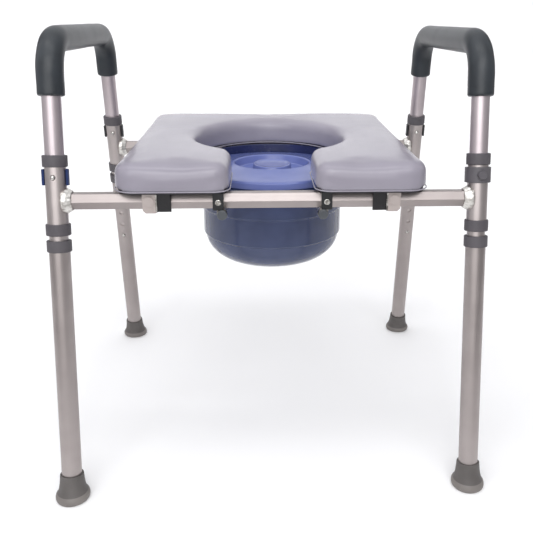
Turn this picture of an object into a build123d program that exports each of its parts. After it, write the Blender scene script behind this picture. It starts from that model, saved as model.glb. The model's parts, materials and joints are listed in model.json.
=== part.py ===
from build123d import *
from math import cos, hypot, radians, sqrt, tan
import os

# Toilet safety frame: two H-shaped welded ends, two U-shaped arms, four telescopic legs,
# a hinged horseshoe seat and a lidded bucket hung on two bowed rails.
# Origin on the floor at the middle of the frame, +X to the user's left-to-right, front = -Y, +Z up.

# --- overall sizes -----------------------------------------------------------------------------
POST_SPACING_X = 587.0      # left to right, between post axes at crossbar height
POST_SPACING_Y = 412.0      # front to rear, between post axes at crossbar height
BAR_HEIGHT = 434.0          # crossbar centre above the floor
ARM_TOP_HEIGHT = 645.0      # centre line of the armrest's level part
LEG_RAKE = 9.15             # degrees, every leg leans out to the front or rear
LEG_SPLAY = 0.35            # degrees, every leg leans out sideways

# --- tubes -------------------------------------------------------------------------------------
POST_R = 14.3
POST_WALL = 1.4
TUBE_GAP = 0.2              # radial gap between a post and the tubes inside it
ARM_R = POST_R - POST_WALL - TUBE_GAP
ARM_WALL = 1.2
SPIGOT_R = ARM_R
SPIGOT_WALL = 1.4
LEG_R = POST_R
LEG_SLIDE_GAP = 0.3         # radial gap between spigot and leg
ARM_BEND_R = 50.0

# --- stations along a post, measured up from crossbar height ------------------------------------
POST_TOP = 61.0
POST_BOTTOM = -46.0
SPIGOT_TOP = 8.0
ARM_TUBE_END = SPIGOT_TOP + 4.0
SPIGOT_TAIL = 18.0          # spigot left below its lowest hole
GRIP_END = 140.0
ARM_BUTTON = POST_TOP - 28.5
LEG_PIN = -185.5
LEG_HOLE_PITCH = 25.0
LEG_SPARE_HOLES = 2

# --- collars, grips, feet ----------------------------------------------------------------------
COLLAR_WALL = 2.5
COLLAR_HEIGHT = 16.0
COLLAR_LIP = 1.5
COLLAR_EDGE = 0.9
COLLAR_SPACING = 7.0        # bare inner tube between a post's and a leg's collar
LEG_TOP = POST_BOTTOM - 2 * COLLAR_LIP - COLLAR_SPACING
GRIP_R = ARM_R + 5.5
GRIP_END_ROUND = 3.0
FOOT_HEIGHT = 38.5
FOOT_RIM_WALL = 2.6
FOOT_SOLE_R = LEG_R + 10.3
FOOT_SOLE_HEIGHT = 8.0
FOOT_SOLE_ROUND = 2.5
FOOT_FLOOR = 8.0            # rubber left under the washer
WASHER_THICKNESS = 2.0

# --- snap buttons ------------------------------------------------------------------------------
BUTTON_R = 3.4
BUTTON_GAP = 0.35
BUTTON_PROUD = 2.3
BUTTON_HEAD_R = 4.8
BUTTON_HEAD = 1.2
BUTTON_HEAD_GAP = 1.5       # lets the round head clear the tube's curved inside
LEAF_WIDTH = 8.0
LEAF_THICKNESS = 0.8
LEAF_LENGTH = 36.0

# --- button clips ------------------------------------------------------------------------------
CLIP_GAP = 0.3
CLIP_WALL = 3.3
CLIP_HEIGHT = 22.0
CLIP_EAR = 4.0
KNOB_R = 6.5
KNOB_HEIGHT = 5.5

# --- crossbars ---------------------------------------------------------------------------------
BAR_FLATS = 22.0            # hexagonal tube, flat side up
BAR_WALL = 1.8
BAR_EDGE_R = 1.6
WELD_LENGTH = 8.0
WELD_RISE = 4.4

# --- seat --------------------------------------------------------------------------------------
SEAT_X = 2.5                # the seat is clipped on this far right of the middle
SEAT_WIDTH = 434.0
SEAT_FRONT = -POST_SPACING_Y / 2 - 25.0
SEAT_BACK = POST_SPACING_Y / 2 + 16.0
SEAT_FRONT_CORNER = 30.0
SEAT_BACK_CORNER = 34.0
SEAT_TILT = 1.3             # degrees, the rear sits higher
OPENING_HALF_X = 119.0
OPENING_HALF_Y = 130.0
GAP_HALF = 58.5             # half the gap between the two front lobes
LOBE_CORNER = 22.0
THROAT_CORNER = 26.0
PAD_THICKNESS = 36.0
PAD_ROUND = 16.0
PAD_RIM = 3.0               # the pad's edge reaches this far down over the board's edge
BOARD_THICKNESS = 6.0
BOARD_INSET = 4.0
SEAT_CLEARANCE = 2.4        # board underside above the front crossbar's top

# --- seat fittings -----------------------------------------------------------------------------
SADDLE_GAP = 0.8
SADDLE_ROOF_GAP = 0.3
SADDLE_WALL = 2.8
HOOK_X = 169.0
HOOK_WIDTH = 17.5
HOOK_DROP = BAR_FLATS / 2 + 3.5     # how far the hook reaches below the bar's centre
HOOK_BOSS_R = 7.2
HOOK_BOSS = 1.8
HOOK_BOSS_LIFT = 2.0        # boss centre above the bar's centre
HOOK_CHAMFER = 4.0
HOOK_STRIP = 2.2            # width of the bright strip beside the hook
STRIP_LIFT = 1.0            # the strip ends this much above the hook's tip
STRIP_PROUD = 0.6
BUMPER_WIDTH = 19.0
BUMPER_X = HOOK_X - HOOK_WIDTH / 2 - HOOK_STRIP - BUMPER_WIDTH / 2
BUMPER_DROP = BAR_FLATS / 2 + 1.5
BUMPER_REAR_DROP = 2.0
BUMPER_ROUND = 1.4
HINGE_X = 150.0
HINGE_WIDTH = 26.0
HINGE_GAP = 0.5
HINGE_WALL = 3.8
HINGE_MOUTH = 100.0         # degrees left open below the bar
PLATE_THICKNESS = 3.6
PLATE_LENGTH = 26.0
SCREW_R = 2.0
SCREW_HEAD_R = 4.3
SCREW_HEAD = 2.4
SCREW_HEAD_ROUND = 1.2
CROSS_LENGTH = 4.4          # cross recess in the clamp screws
CROSS_WIDTH = 1.0
CROSS_DEPTH = 1.4
SCREW_END = 1.0             # left between a screw's tip and the far side of what it holds
SCREW_INSET = 8.0           # from a plate's end to its screws

# --- bucket and its rails ----------------------------------------------------------------------
RAILS_X = 2.5               # middle of the two rails, right of the frame's middle
BUCKET_X = 6.0              # middle of the bucket and of the rails' bow
RAIL_R = 6.0
RAIL_WALL = 1.2
RAIL_GAP = 0.7              # rail top below the crossbar
RAIL_X = 70.0
RAIL_SIDE_GAP = 1.0         # between the bucket's wall and the bowed rails
RAIL_BEND_R = 25.0
RAIL_CAP_R = RAIL_R + 1.0
RAIL_CAP = 3.0
RAIL_CAP_ROUND = 1.4
RAIL_PLUG = 9.0
CLAMP_X = RAIL_X + 5.0
CLAMP_WIDTH = 15.0
CLAMP_TOP_WALL = 1.4
CLAMP_ROUND = 2.0
CLAMP_DROP = BAR_FLATS / 2 + 0.4
CLAMP_TO_CAP = 0.2          # the rail's cap starts this far past the clamp's face
STRAP_WALL = 1.3
STRAP_WIDTH = 5.0
STRAP_TUCK = 4.0            # the strap's tab ends this far below the bar's centre
BUCKET_R = 120.0
BUCKET_WALL = 2.5
BUCKET_DEPTH = 141.0
BUCKET_FLAT_R = 52.0
BUCKET_BELLY = 46.0         # height of the rounded lower part
BUCKET_STEP = 3.4           # each ridge narrows the wall by this
BUCKET_RIDGE = 49.0         # upper ridge below the flange
BUCKET_REST = 0.3           # gap over the rails
FLANGE_THICKNESS = 3.0
FLANGE_OVERHANG = 2.5       # flange edge past the middle of the bowed rails
GUARD_WALL = 2.4
GUARD_GAP = 2.3             # guard's top below the seat board, along the seat's slope
GUARD_ARC = 200.0           # degrees of the rear splash guard
LID_GAP = 0.8               # between the lid and the guard
LID_WALL = 2.2
LID_EDGE = 10.5
LID_RISE = 19.5
RECESS_R = 62.0
RECESS_DEPTH = 13.0
HANDLE_WIDTH = 66.0
HANDLE_LENGTH = 88.0
HANDLE_RISE = 14.0
HANDLE_OFFSET = -16.0       # the oval grip stands towards the front of the lid
HANDLE_DISH = 2.0

LEAN = hypot(1.0, tan(radians(LEG_RAKE)), tan(radians(LEG_SPLAY)))   # post length per mm of height
FLOOR_STATION = -BAR_HEIGHT * LEAN
LEG_END = FLOOR_STATION + FOOT_FLOOR + WASHER_THICKNESS
SPIGOT_END = LEG_PIN - LEG_SPARE_HOLES * LEG_HOLE_PITCH - SPIGOT_TAIL
HOLE_R = BUTTON_R + BUTTON_GAP
CLIP_BOTTOM = ARM_BUTTON - CLIP_HEIGHT / 2
BAR_TOP = BAR_HEIGHT + BAR_FLATS / 2
BAR_CORNER = BAR_FLATS / sqrt(3.0)
BAR_Y = POST_SPACING_Y / 2
SADDLE_INNER = BAR_CORNER + SADDLE_GAP
SADDLE_OUTER = SADDLE_INNER + SADDLE_WALL
RAIL_END = BAR_Y + SADDLE_OUTER + CLAMP_TO_CAP
RAIL_BOW_R = BUCKET_R + RAIL_SIDE_GAP + RAIL_R
FLANGE_R = RAIL_BOW_R + FLANGE_OVERHANG
LID_R = FLANGE_R - GUARD_WALL - LID_GAP
BOARD_BASE = BAR_TOP + SEAT_CLEARANCE
RAIL_Z = BAR_HEIGHT - BAR_FLATS / 2 - RAIL_GAP - RAIL_R
FLANGE_Z = RAIL_Z + RAIL_R + BUCKET_REST
LID_Z = FLANGE_Z + FLANGE_THICKNESS + BUCKET_REST

CORNERS = {"front_left": (-1, -1), "front_right": (1, -1), "rear_left": (-1, 1), "rear_right": (1, 1)}
SIDES = {"left": -1, "right": 1}
ENDS = {"front": -1, "rear": 1}
KNOB_FRONT = "front_right"  # this clip is worn with its knob to the front, the others to the rear


# --- shared shapes -----------------------------------------------------------------------------
def cylinder(radius, low, high):
    """Upright cylinder between two heights."""
    return Pos(0, 0, (low + high) / 2) * Cylinder(radius, high - low)


def pipe(radius, wall, low, high):
    """Upright tube between two heights."""
    return cylinder(radius, low, high) - cylinder(radius - wall, low, high)


def block(x_range, y_range, z_range):
    """Box between two corners."""
    size = [high - low for low, high in (x_range, y_range, z_range)]
    middle = [(high + low) / 2 for low, high in (x_range, y_range, z_range)]
    return Pos(*middle) * Box(*size)


def rod_y(radius, x, z, low, high):
    """Cylinder along Y between two depths."""
    return Pos(x, (low + high) / 2, z) * Rot(90, 0, 0) * Cylinder(radius, high - low)


def corner_frame(side, end):
    """Place on one post: z runs up the post from crossbar height and -y looks to the front."""
    up = Vector(-side * tan(radians(LEG_SPLAY)), -end * tan(radians(LEG_RAKE)), 1.0)
    across = Vector(1, 0, 0)
    across = across - up * (across.dot(up) / up.dot(up))
    origin = (side * POST_SPACING_X / 2, end * POST_SPACING_Y / 2, BAR_HEIGHT)
    return Plane(origin=origin, x_dir=across, z_dir=up).location


def post_point(side, end, station):
    """Point on a post's axis."""
    return (corner_frame(side, end) * Pos(0, 0, station)).position


def hexagon(flats):
    """Crossbar section with a flat on top."""
    outline = RegularPolygon(flats / 2, 6, major_radius=False)
    return fillet(outline.vertices(), BAR_EDGE_R)


def bar_prism(flats, end, half_length):
    """Solid hexagonal prism on one crossbar's axis."""
    prism = extrude(Plane.YZ * hexagon(flats), half_length, both=True)
    return Pos(0, end * BAR_Y, BAR_HEIGHT) * prism


def on_seat(shape):
    """Move a seat part from the frame's middle to where the seat is clipped on."""
    return Pos(SEAT_X, 0, 0) * shape


def tilted(shape):
    """Turn a seat part from level to the seat's slope about the front crossbar's top."""
    pivot = Pos(0, -BAR_Y, BAR_TOP)
    return pivot * Rot(SEAT_TILT, 0, 0) * pivot.inverse() * shape


# --- welded frame ------------------------------------------------------------------------------
def post(side, end):
    tube = pipe(POST_R, POST_WALL, POST_BOTTOM, POST_TOP)
    tube -= rod_y(HOLE_R, 0, ARM_BUTTON, -2 * POST_R, 0)
    return corner_frame(side, end) * tube


def crossbar(end):
    half = POST_SPACING_X / 2
    bar = bar_prism(BAR_FLATS, end, half) - bar_prism(BAR_FLATS - 2 * BAR_WALL, end, half)
    for side in SIDES.values():
        bar -= corner_frame(side, end) * cylinder(POST_R, -3 * POST_R, 3 * POST_R)
        bar -= clamp_screw_hole(side, end)
    return bar


def weld_bead(side, end):
    """Fillet weld where a crossbar's end is coped to a post."""
    reach = POST_R + WELD_LENGTH
    slope = WELD_RISE / WELD_LENGTH
    root = POST_R * 0.6
    toe_r = BAR_CORNER + 0.4
    cone = Cone(toe_r + slope * (reach - root), toe_r, reach - root)
    middle = side * (POST_SPACING_X / 2 - (reach + root) / 2)
    bead = cone & Cylinder(toe_r + WELD_RISE, 2 * reach)
    bead = Pos(middle, end * BAR_Y, BAR_HEIGHT) * Rot(0, -side * 90, 0) * bead
    bead -= corner_frame(side, end) * cylinder(POST_R, -3 * POST_R, 3 * POST_R)
    return bead - bar_prism(BAR_FLATS, end, POST_SPACING_X / 2)


def collar(outer_r, inner_r, low, lip_up):
    """Plastic end collar with a lip that closes down to the inner tube."""
    high = low + COLLAR_HEIGHT
    ring = cylinder(outer_r + COLLAR_WALL, low, high)
    ring = chamfer(ring.edges().filter_by(GeomType.CIRCLE), COLLAR_EDGE)
    if lip_up:
        ring -= cylinder(outer_r, low, high - COLLAR_LIP)
    else:
        ring -= cylinder(outer_r, low + COLLAR_LIP, high)
    return ring - cylinder(inner_r, low, high)


def top_collar(side, end):
    low = POST_TOP + COLLAR_LIP - COLLAR_HEIGHT
    return corner_frame(side, end) * collar(POST_R, ARM_R, low, True)


def bottom_collar(side, end):
    return corner_frame(side, end) * collar(POST_R, SPIGOT_R, POST_BOTTOM - COLLAR_LIP, False)


def spigot(side, end):
    """Inner tube that the leg slides on, with a slot that lets the leg's button travel."""
    tube = pipe(SPIGOT_R, SPIGOT_WALL, SPIGOT_END, SPIGOT_TOP)
    low = LEG_PIN - LEG_SPARE_HOLES * LEG_HOLE_PITCH
    inward = (-2 * SPIGOT_R, 0) if end > 0 else (0, 2 * SPIGOT_R)
    tube -= block((-HOLE_R, HOLE_R), inward, (low, LEG_PIN))
    tube -= rod_y(HOLE_R, 0, low, *inward)
    tube -= rod_y(HOLE_R, 0, LEG_PIN, *inward)
    return corner_frame(side, end) * tube


# --- legs --------------------------------------------------------------------------------------
def leg_tube(side, end):
    wall = LEG_R - SPIGOT_R - LEG_SLIDE_GAP
    tube = pipe(LEG_R, wall, LEG_END, LEG_TOP)
    inward = (-2 * LEG_R, 0) if end > 0 else (0, 2 * LEG_R)
    for hole in range(LEG_SPARE_HOLES + 1):
        tube -= rod_y(HOLE_R, 0, LEG_PIN + hole * LEG_HOLE_PITCH, *inward)
    return corner_frame(side, end) * tube


def leg_collar(side, end):
    low = LEG_TOP + COLLAR_LIP - COLLAR_HEIGHT
    return corner_frame(side, end) * collar(LEG_R, SPIGOT_R + LEG_SLIDE_GAP, low, True)


def leg_washer(side, end):
    low = FLOOR_STATION + FOOT_FLOOR
    return corner_frame(side, end) * cylinder(LEG_R, low, low + WASHER_THICKNESS)


def foot(side, end):
    """Flared rubber foot on the leg's slant, with a level sole."""
    rim = FLOOR_STATION + FOOT_HEIGHT
    rim_r = LEG_R + FOOT_RIM_WALL
    outline = Polyline(
        (0, FLOOR_STATION), (FOOT_SOLE_R - 3.0, FLOOR_STATION), (FOOT_SOLE_R - 4.2, FLOOR_STATION + 11.0),
        (rim_r + 1.4, FLOOR_STATION + 20.0), (rim_r, rim - 3.0), (rim_r, rim), (0, rim), close=True)
    body = corner_frame(side, end) * revolve(Plane.XZ * make_face(outline), Axis.Z)
    ground = post_point(side, end, FLOOR_STATION)
    sole = cylinder(FOOT_SOLE_R, 0, FOOT_SOLE_HEIGHT)
    sole = fillet(sole.edges().filter_by(GeomType.CIRCLE).sort_by(Axis.Z)[-1], FOOT_SOLE_ROUND)
    body += Pos(ground.X, ground.Y, 0) * sole
    body -= corner_frame(side, end) * cylinder(LEG_R, FLOOR_STATION + FOOT_FLOOR, rim)
    below = 2 * FOOT_HEIGHT
    return body - Pos(ground.X, ground.Y, -below / 2) * Box(below, below, below)


def snap_button(side, end, station, tube_r, tube_wall, facing):
    """Domed locking button on its spring leaf; facing is -1 to the front, +1 to the rear."""
    crown = tube_r + BUTTON_PROUD - BUTTON_R
    seat_r = ARM_R - tube_wall - BUTTON_HEAD_GAP
    pin = rod_y(BUTTON_R, 0, 0, seat_r - BUTTON_HEAD, crown)
    pin += Pos(0, crown, 0) * Sphere(BUTTON_R)
    pin += rod_y(BUTTON_HEAD_R, 0, 0, seat_r - BUTTON_HEAD, seat_r)
    leaf_face = seat_r - BUTTON_HEAD
    half = LEAF_WIDTH / 2
    pin += block((-half, half), (leaf_face - LEAF_THICKNESS, leaf_face), (-half, LEAF_LENGTH))
    turn = Rot(0, 0, 180) if facing < 0 else Rot(0, 0, 0)
    return corner_frame(side, end) * Pos(0, 0, station) * turn * pin


def arm_button(side, end):
    return snap_button(side, end, ARM_BUTTON, POST_R, ARM_WALL, -1)


def leg_button(side, end):
    return snap_button(side, end, LEG_PIN, LEG_R, SPIGOT_WALL, -end)


def button_clip(side, end, facing):
    """U-shaped push-on clip below the top collar; its hollow knob can cover the button."""
    inner = POST_R + CLIP_GAP
    outer = inner + CLIP_WALL
    high = CLIP_BOTTOM + CLIP_HEIGHT
    low = CLIP_BOTTOM
    clip = cylinder(outer, low, high) - block((-outer, outer), (-outer, 0), (low, high))
    clip += block((-outer, outer), (-CLIP_EAR, 0), (low, high))
    clip = fillet(clip.edges().filter_by(GeomType.CIRCLE), 1.0)
    middle = low + CLIP_HEIGHT / 2
    neck = outer + KNOB_HEIGHT - KNOB_R * 0.6
    dome = Pos(0, neck, middle) * Sphere(KNOB_R)
    dome -= block((-outer, outer), (0, neck), (low, high))
    flat_y = outer + KNOB_HEIGHT
    dome -= block((-outer, outer), (flat_y, 2 * flat_y), (low, high))
    clip += rod_y(KNOB_R, 0, middle, outer - CLIP_WALL / 2, neck) + dome
    clip -= cylinder(inner, low, high)
    clip -= block((-inner, inner), (-outer, 0), (low, high))
    clip -= rod_y(BUTTON_R + 1.0, 0, middle, 0, POST_R + BUTTON_PROUD + 1.6)
    turn = Rot(0, 0, 180) if facing < 0 else Rot(0, 0, 0)
    return corner_frame(side, end) * turn * clip


# --- arms --------------------------------------------------------------------------------------
def arm_path(side, station):
    """Centre line up one post, over and down the other, starting at a station on both."""
    top = (ARM_TOP_HEIGHT - BAR_HEIGHT) * LEAN
    points = [post_point(side, -1, station), post_point(side, -1, top),
              post_point(side, 1, top), post_point(side, 1, station)]
    return FilletPolyline(*points, radius=ARM_BEND_R)


def swept_tube(path, outer_r, inner_r):
    ring = Circle(outer_r) - Circle(inner_r)
    start = Plane(origin=path @ 0, z_dir=path % 0)
    return sweep(start * ring, path)


def arm_tube(side):
    tube = swept_tube(arm_path(side, ARM_TUBE_END), ARM_R, ARM_R - ARM_WALL)
    for end in ENDS.values():
        tube -= corner_frame(side, end) * rod_y(HOLE_R, 0, ARM_BUTTON, -2 * ARM_R, 0)
    return tube


def arm_grip(side):
    grip = swept_tube(arm_path(side, GRIP_END), GRIP_R, ARM_R)
    rims = [edge for edge in grip.edges().filter_by(GeomType.CIRCLE)
            if abs(edge.radius - GRIP_R) < 0.01 and edge.center().Z < grip.bounding_box().min.Z + 10]
    return fillet(rims, GRIP_END_ROUND)


# --- seat --------------------------------------------------------------------------------------
def seat_outline(inset):
    """Horseshoe outline, open to the front, drawn level."""
    depth = SEAT_BACK - SEAT_FRONT - 2 * inset
    middle = (SEAT_BACK + SEAT_FRONT) / 2
    plan = Pos(0, middle) * Rectangle(SEAT_WIDTH - 2 * inset, depth)
    plan = fillet(plan.vertices().filter_by(lambda v: v.Y < middle), SEAT_FRONT_CORNER - inset)
    plan = fillet(plan.vertices().filter_by(lambda v: v.Y > SEAT_BACK - inset - 1), SEAT_BACK_CORNER - inset)
    gap = GAP_HALF + inset
    plan -= Ellipse(OPENING_HALF_X + inset, OPENING_HALF_Y + inset)
    plan -= Pos(0, SEAT_FRONT) * Rectangle(2 * gap, -2 * SEAT_FRONT)
    inner = plan.vertices().filter_by(lambda v: abs(abs(v.X) - gap) < 0.01)
    lobes = inner.filter_by(lambda v: v.Y < SEAT_FRONT + inset + 1)
    throat = inner.filter_by(lambda v: v.Y > SEAT_FRONT + inset + 1)
    throat_points = [(v.X, v.Y) for v in throat]
    plan = fillet(lobes, LOBE_CORNER)
    throat = [v for v in plan.vertices() if any(hypot(v.X - x, v.Y - y) < 0.01 for x, y in throat_points)]
    return fillet(throat, THROAT_CORNER)


def seat_board():
    board = Pos(0, 0, BOARD_BASE) * extrude(seat_outline(BOARD_INSET), BOARD_THICKNESS)
    for x, y in seat_screw_spots():
        board -= Pos(x, y, 0) * cylinder(SCREW_R, BOARD_BASE, BOARD_BASE + BOARD_THICKNESS - SCREW_END)
    return tilted(board)


def seat_pad():
    """Foam pad on the board, with a rim over the board's edge and a deeper lip round the opening."""
    base = BOARD_BASE + BOARD_THICKNESS
    pad = Pos(0, 0, base - PAD_RIM) * extrude(seat_outline(0), PAD_RIM + PAD_THICKNESS)
    pad = fillet(pad.faces().sort_by(Axis.Z)[-1].edges(), PAD_ROUND)
    pad -= Pos(0, 0, base - PAD_RIM) * extrude(seat_outline(BOARD_INSET), PAD_RIM)
    lip = seat_outline(0) & Ellipse(OPENING_HALF_X + BOARD_INSET, OPENING_HALF_Y + BOARD_INSET)
    pad += Pos(0, 0, BOARD_BASE) * extrude(lip, BOARD_THICKNESS)
    return tilted(pad)


def seat_screw_spots():
    """Screw places under the board, in the level seat's plan."""
    away = BAR_Y - BAR_CORNER - PLATE_LENGTH + SCREW_INSET
    hooks = [(side * HOOK_X, -away) for side in SIDES.values()]
    hinges = [(side * HINGE_X + step, away)
              for side in SIDES.values() for step in (-HINGE_WIDTH / 4, HINGE_WIDTH / 4)]
    return hooks + hinges


def seat_screws():
    screws = []
    underside = BOARD_BASE - PLATE_THICKNESS
    for x, y in seat_screw_spots():
        shank = cylinder(SCREW_R, underside, BOARD_BASE + BOARD_THICKNESS - SCREW_END)
        head = cylinder(SCREW_HEAD_R, underside - SCREW_HEAD, underside)
        head = fillet(head.edges().sort_by(Axis.Z)[0], SCREW_HEAD_ROUND)
        screws.append(tilted(Pos(x, y, 0) * (shank + head)))
    return screws


def saddle(x, width, drop, rear_drop):
    """Level U-shaped saddle that sits over the front crossbar below the board."""
    x_range = (x - width / 2, x + width / 2)
    low = BAR_HEIGHT - drop
    shape = block(x_range, (-SADDLE_OUTER, SADDLE_OUTER), (low, BOARD_BASE))
    shape -= block(x_range, (-SADDLE_INNER, SADDLE_INNER), (low, BAR_TOP + SADDLE_ROOF_GAP))
    return shape - block(x_range, (0, SADDLE_OUTER), (low, BAR_HEIGHT - rear_drop))


def seat_hook(side):
    """Snap hook at the front: saddle, screw plate and a round boss on its face."""
    x = side * HOOK_X
    half = HOOK_WIDTH / 2
    hook = saddle(x, HOOK_WIDTH, HOOK_DROP, 0.0)
    corner = Pos(x + side * half, 0, BAR_HEIGHT - HOOK_DROP) * Rot(0, 45, 0)
    hook -= corner * Box(HOOK_CHAMFER * sqrt(2), 4 * SADDLE_OUTER, HOOK_CHAMFER * sqrt(2))
    hook += rod_y(HOOK_BOSS_R, x, BAR_HEIGHT + HOOK_BOSS_LIFT, -SADDLE_OUTER - HOOK_BOSS, -SADDLE_OUTER)
    plate_end = BAR_CORNER + PLATE_LENGTH
    hook += block((x - half, x + half), (SADDLE_OUTER, plate_end), (BOARD_BASE - PLATE_THICKNESS, BOARD_BASE))
    hook = Pos(0, -BAR_Y, 0) * hook
    spot = [point for point in seat_screw_spots()[:2] if point[0] * side > 0][0]
    return tilted(hook - Pos(*spot, 0) * cylinder(SCREW_R, BAR_HEIGHT, BOARD_BASE))


def hook_strip(side):
    """Bright spring strip beside each hook."""
    edge = side * (HOOK_X - HOOK_WIDTH / 2)
    x_range = sorted((edge, edge - side * HOOK_STRIP))
    y_range = (-SADDLE_OUTER - STRIP_PROUD, -SADDLE_INNER)
    strip = block(x_range, y_range, (BAR_HEIGHT - HOOK_DROP + STRIP_LIFT, BOARD_BASE))
    return tilted(Pos(0, -BAR_Y, 0) * strip)


def bar_bumper(side):
    """Black rubber rest block on the front crossbar."""
    bumper = saddle(side * BUMPER_X, BUMPER_WIDTH, BUMPER_DROP, BUMPER_REAR_DROP)
    front_edges = bumper.edges().filter_by(Axis.Z).group_by(Axis.Y)[0]
    return tilted(Pos(0, -BAR_Y, 0) * fillet(front_edges, BUMPER_ROUND))


def hinge_clip(side):
    """Rear hinge: an open ring that turns on the rear crossbar and a plate screwed to the board."""
    x = side * HINGE_X
    half = HINGE_WIDTH / 2
    inner = BAR_CORNER + HINGE_GAP
    outer = inner + HINGE_WALL
    lean = Pos(x, BAR_Y, BAR_HEIGHT) * Rot(0, 90, 0)
    clip = lean * Cylinder(outer, HINGE_WIDTH)
    clip += block((x - half, x + half), (BAR_Y - outer, BAR_Y + outer), (BAR_HEIGHT, BAR_HEIGHT + 2 * outer))
    clip -= lean * Cylinder(inner, HINGE_WIDTH)
    mouth = tan(radians(HINGE_MOUTH / 2)) * outer
    wedge = Polyline((0, 0), (mouth, -outer), (-mouth, -outer), close=True)
    clip -= Pos(x, BAR_Y, BAR_HEIGHT) * extrude(Plane.YZ * make_face(wedge), half, both=True)
    plate = block((x - half, x + half), (BAR_Y - BAR_CORNER - PLATE_LENGTH, BAR_Y + outer),
                  (BOARD_BASE - PLATE_THICKNESS, BOARD_BASE))
    room = block((x - 2 * half, x + 2 * half), (BAR_Y - 4 * outer, BAR_Y + 4 * outer),
                 (BOARD_BASE, BOARD_BASE + 4 * outer))
    clip = clip + tilted(plate) - tilted(room)
    for spot_x, spot_y in seat_screw_spots()[2:]:
        if spot_x * side > 0:
            clip -= tilted(Pos(spot_x, spot_y, 0) * cylinder(SCREW_R, BAR_HEIGHT, BOARD_BASE))
    return clip


# --- bucket rails ------------------------------------------------------------------------------
def rail_path(side):
    """Straight under both crossbars at the ends, bowed round the bucket in the middle."""
    straight_x = side * (RAILS_X - BUCKET_X) + RAIL_X
    reach = RAIL_BOW_R + RAIL_BEND_R
    bend_x = straight_x + RAIL_BEND_R
    bend_y = sqrt(reach * reach - bend_x * bend_x)
    touch = RAIL_BOW_R / reach
    touch_x, touch_y = bend_x * touch, bend_y * touch
    half_x = bend_x - RAIL_BEND_R * cos(radians(20))
    half_y = bend_y - RAIL_BEND_R * sqrt(1 - cos(radians(20)) ** 2)

    def spot(x, y):
        return (BUCKET_X + side * x, y, RAIL_Z)

    return Wire([
        Edge.make_line(spot(straight_x, -RAIL_END), spot(straight_x, -bend_y)),
        Edge.make_three_point_arc(spot(straight_x, -bend_y), spot(half_x, -half_y), spot(touch_x, -touch_y)),
        Edge.make_three_point_arc(spot(touch_x, -touch_y), spot(RAIL_BOW_R, 0), spot(touch_x, touch_y)),
        Edge.make_three_point_arc(spot(touch_x, touch_y), spot(half_x, half_y), spot(straight_x, bend_y)),
        Edge.make_line(spot(straight_x, bend_y), spot(straight_x, RAIL_END))])


def bucket_rail(side):
    ring = Circle(RAIL_R) - Circle(RAIL_R - RAIL_WALL)
    start = Plane(origin=(RAILS_X + side * RAIL_X, -RAIL_END, RAIL_Z), z_dir=(0, 1, 0))
    return sweep(start * ring, rail_path(side))


def rail_cap(side, end):
    x = RAILS_X + side * RAIL_X
    head = rod_y(RAIL_CAP_R, x, RAIL_Z, RAIL_END, RAIL_END + RAIL_CAP)
    head = fillet(head.edges().sort_by(Axis.Y)[-1], RAIL_CAP_ROUND)
    cap = head + rod_y(RAIL_R - RAIL_WALL, x, RAIL_Z, RAIL_END - RAIL_PLUG, RAIL_END)
    return cap if end > 0 else mirror(cap, Plane.XZ)


def clamp_screw_hole(side, end):
    low = BAR_Y + BAR_CORNER / 2
    hole = rod_y(SCREW_R, RAILS_X + side * CLAMP_X, BAR_HEIGHT, low, low + 4 * BAR_CORNER)
    return hole if end > 0 else mirror(hole, Plane.XZ)


def rail_clamp(side, end):
    """Black saddle over a crossbar with one screw in its outer face."""
    half = CLAMP_WIDTH / 2
    x = RAILS_X + side * CLAMP_X
    x_range = (x - half, x + half)
    low = BAR_HEIGHT - CLAMP_DROP
    clamp = block(x_range, (-SADDLE_OUTER, SADDLE_OUTER), (low, BAR_TOP + CLAMP_TOP_WALL))
    clamp -= block(x_range, (-SADDLE_INNER, SADDLE_INNER), (low, BAR_TOP))
    clamp -= block(x_range, (-SADDLE_OUTER, -SADDLE_INNER), (low, BAR_HEIGHT))
    clamp = fillet(clamp.edges().filter_by(Axis.Y).group_by(Axis.Z)[0], CLAMP_ROUND)
    clamp = Pos(0, BAR_Y, 0) * clamp
    if end < 0:
        clamp = mirror(clamp, Plane.XZ)
    return clamp - clamp_screw_hole(side, end)


def clamp_screw(side, end):
    face = BAR_Y + SADDLE_OUTER
    x = RAILS_X + side * CLAMP_X
    head = rod_y(SCREW_HEAD_R, x, BAR_HEIGHT, face, face + SCREW_HEAD)
    head = fillet(head.edges().sort_by(Axis.Y)[-1], SCREW_HEAD_ROUND)
    recess = (face + SCREW_HEAD - CROSS_DEPTH, face + 2 * SCREW_HEAD)
    long, slim = CROSS_LENGTH / 2, CROSS_WIDTH / 2
    cross = block((x - long, x + long), recess, (BAR_HEIGHT - slim, BAR_HEIGHT + slim))
    cross += block((x - slim, x + slim), recess, (BAR_HEIGHT - long, BAR_HEIGHT + long))
    screw = head - cross + rod_y(SCREW_R, x, BAR_HEIGHT, BAR_Y + BAR_CORNER / 2 + SCREW_END, face)
    return screw if end > 0 else mirror(screw, Plane.XZ)


def rail_strap(side, end):
    """Bright steel loop that holds a rail's end under the clamp's outer face."""
    face = BAR_Y + SADDLE_INNER
    loop_r = RAIL_R + STRAP_WALL
    x = RAILS_X + side * RAIL_X
    near = face - STRAP_WIDTH
    strap = rod_y(loop_r, x, RAIL_Z, near, face)
    strap += block((x, x + side * loop_r) if side > 0 else (x - loop_r, x),
                   (face - STRAP_WALL, face), (RAIL_Z, BAR_HEIGHT - STRAP_TUCK))
    strap -= rod_y(RAIL_R, x, RAIL_Z, near, face)
    return strap if end > 0 else mirror(strap, Plane.XZ)


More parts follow.
